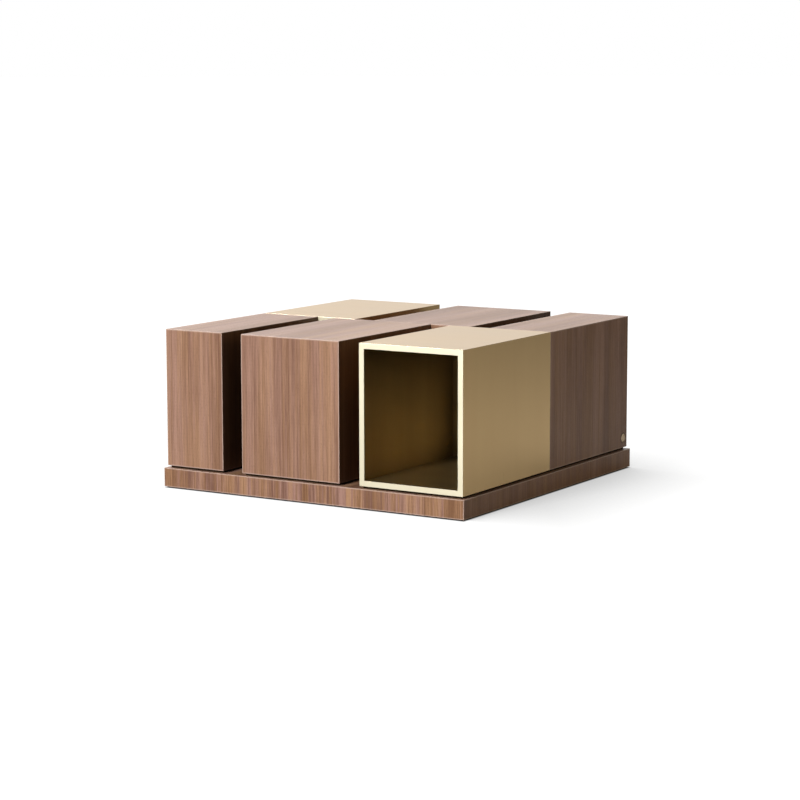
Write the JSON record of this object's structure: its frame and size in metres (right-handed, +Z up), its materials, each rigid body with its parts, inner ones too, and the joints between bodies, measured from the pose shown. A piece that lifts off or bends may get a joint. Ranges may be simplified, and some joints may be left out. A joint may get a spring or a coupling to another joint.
{
  "type": "low storage table",
  "caption": "Low square coffee table of upright walnut blocks and open brass-clad boxes on a thin plinth with levelling feet.",
  "frame": {"origin": "on the floor, under the middle of the square plinth", "axes": "+Z up; -Y is the front, where the first brass box opens; +X is to the right of someone facing the front"},
  "size_m": [0.914, 0.914, 0.421],
  "materials": {
    "walnut_veneer": "satin",
    "bare_board": "matte",
    "satin_brass": "satin",
    "disc_brass": "satin",
    "insert_metal": "satin",
    "shadow_black": "matte",
    "zinc_steel": "satin",
    "foot_nylon": "matte"
  },
  "bodies": {
    "table": {"plinth_top": "walnut_veneer", "plinth_front_rail": "walnut_veneer", "plinth_back_rail": "walnut_veneer", "plinth_left_rail": "walnut_veneer", "plinth_right_rail": "walnut_veneer", "left_cross_rail": "bare_board", "right_cross_rail": "bare_board", "front_left_corner_block": "bare_board", "front_right_corner_block": "bare_board", "back_left_corner_block": "bare_board", "back_right_corner_block": "bare_board", "foot_inserts": "insert_metal", "front_left_spacer": "shadow_black", "front_middle_spacer": "shadow_black", "front_right_spacer": "shadow_black", "back_left_spacer": "shadow_black", "back_middle_spacer": "shadow_black", "back_right_spacer": "shadow_black", "front_left_block_top": "walnut_veneer", "front_left_block_bottom": "bare_board", "front_left_block_front": "walnut_veneer", "front_left_block_back": "walnut_veneer", "front_left_block_left": "walnut_veneer", "front_left_block_right": "walnut_veneer", "front_middle_block_top": "walnut_veneer", "front_middle_block_bottom": "bare_board", "front_middle_block_front": "walnut_veneer", "front_middle_block_back": "walnut_veneer", "front_middle_block_left": "walnut_veneer", "front_middle_block_right": "walnut_veneer", "back_middle_block_top": "walnut_veneer", "back_middle_block_bottom": "bare_board", "back_middle_block_front": "walnut_veneer", "back_middle_block_back": "walnut_veneer", "back_middle_block_left": "walnut_veneer", "back_middle_block_right": "walnut_veneer", "back_right_block_top": "walnut_veneer", "back_right_block_bottom": "bare_board", "back_right_block_front": "walnut_veneer", "back_right_block_back": "walnut_veneer", "back_right_block_left": "walnut_veneer", "back_right_block_right": "walnut_veneer", "front_right_box_top": "satin_brass", "front_right_box_bottom": "satin_brass", "front_right_box_left": "satin_brass", "front_right_box_right": "satin_brass", "front_right_box_end": "satin_brass", "back_left_box_top": "satin_brass", "back_left_box_bottom": "satin_brass", "back_left_box_left": "satin_brass", "back_left_box_right": "satin_brass", "back_left_box_end": "satin_brass", "block_bolts": "zinc_steel", "block_washers": "zinc_steel", "block_inserts": "insert_metal", "inlaid_disc": "disc_brass"},
    "front_left_foot": {"front_left_foot": "foot_nylon"},
    "front_right_foot": {"front_right_foot": "foot_nylon"},
    "back_left_foot": {"back_left_foot": "foot_nylon"},
    "back_right_foot": {"back_right_foot": "foot_nylon"}
  },
  "joints": [
    {"name": "front_left_foot_screw", "type": "slide", "parent": "table", "child": "front_left_foot", "axis": [0, 0, -1], "range_m": [0, 0.01]},
    {"name": "front_right_foot_screw", "type": "slide", "parent": "table", "child": "front_right_foot", "axis": [0, 0, -1], "range_m": [0, 0.01]},
    {"name": "back_left_foot_screw", "type": "slide", "parent": "table", "child": "back_left_foot", "axis": [0, 0, -1], "range_m": [0, 0.01]},
    {"name": "back_right_foot_screw", "type": "slide", "parent": "table", "child": "back_right_foot", "axis": [0, 0, -1], "range_m": [0, 0.01]}
  ]
}
